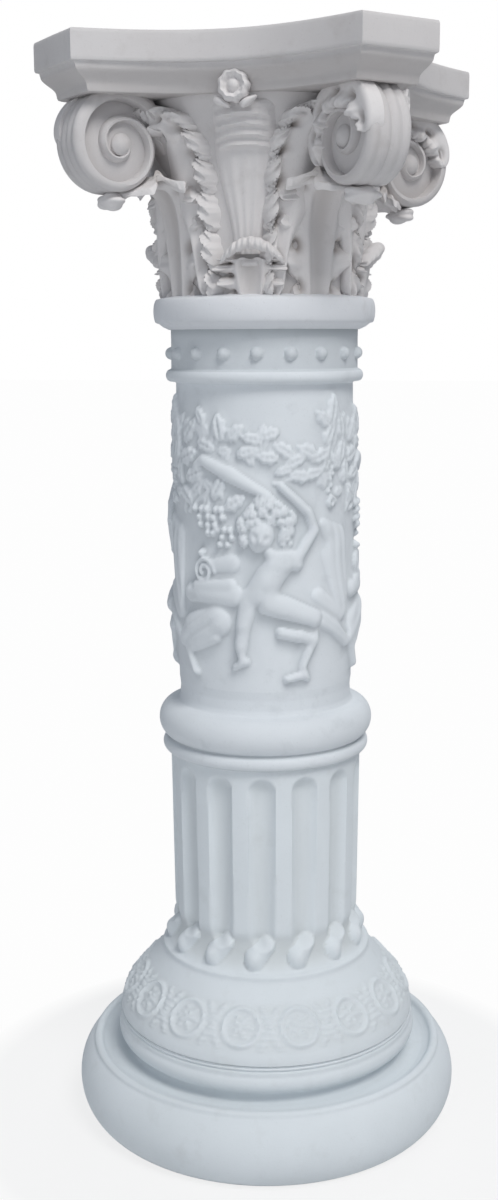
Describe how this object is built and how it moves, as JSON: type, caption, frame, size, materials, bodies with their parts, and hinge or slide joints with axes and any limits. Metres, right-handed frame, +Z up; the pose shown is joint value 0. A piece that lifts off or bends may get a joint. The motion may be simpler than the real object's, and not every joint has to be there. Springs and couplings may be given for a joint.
{
  "type": "pedestal column",
  "caption": "Cast pedestal column with a scrolled and leafy square capital, a round drum of dancing figures in relief, a fluted lower drum and a flared bell foot.",
  "frame": {"origin": "middle of the flat underside of the foot", "axes": "+Z up along the column; -Y is the normal of one hollow side of the square top, and that side's flower lies on it"},
  "size_m": [0.446, 0.446, 1.2],
  "materials": {
    "cast_white": "matte, slightly chalky cast surface"
  },
  "bodies": {
    "root": {"capital": "cast_white", "relief_drum": "cast_white", "base": "cast_white"}
  },
  "joints": []
}
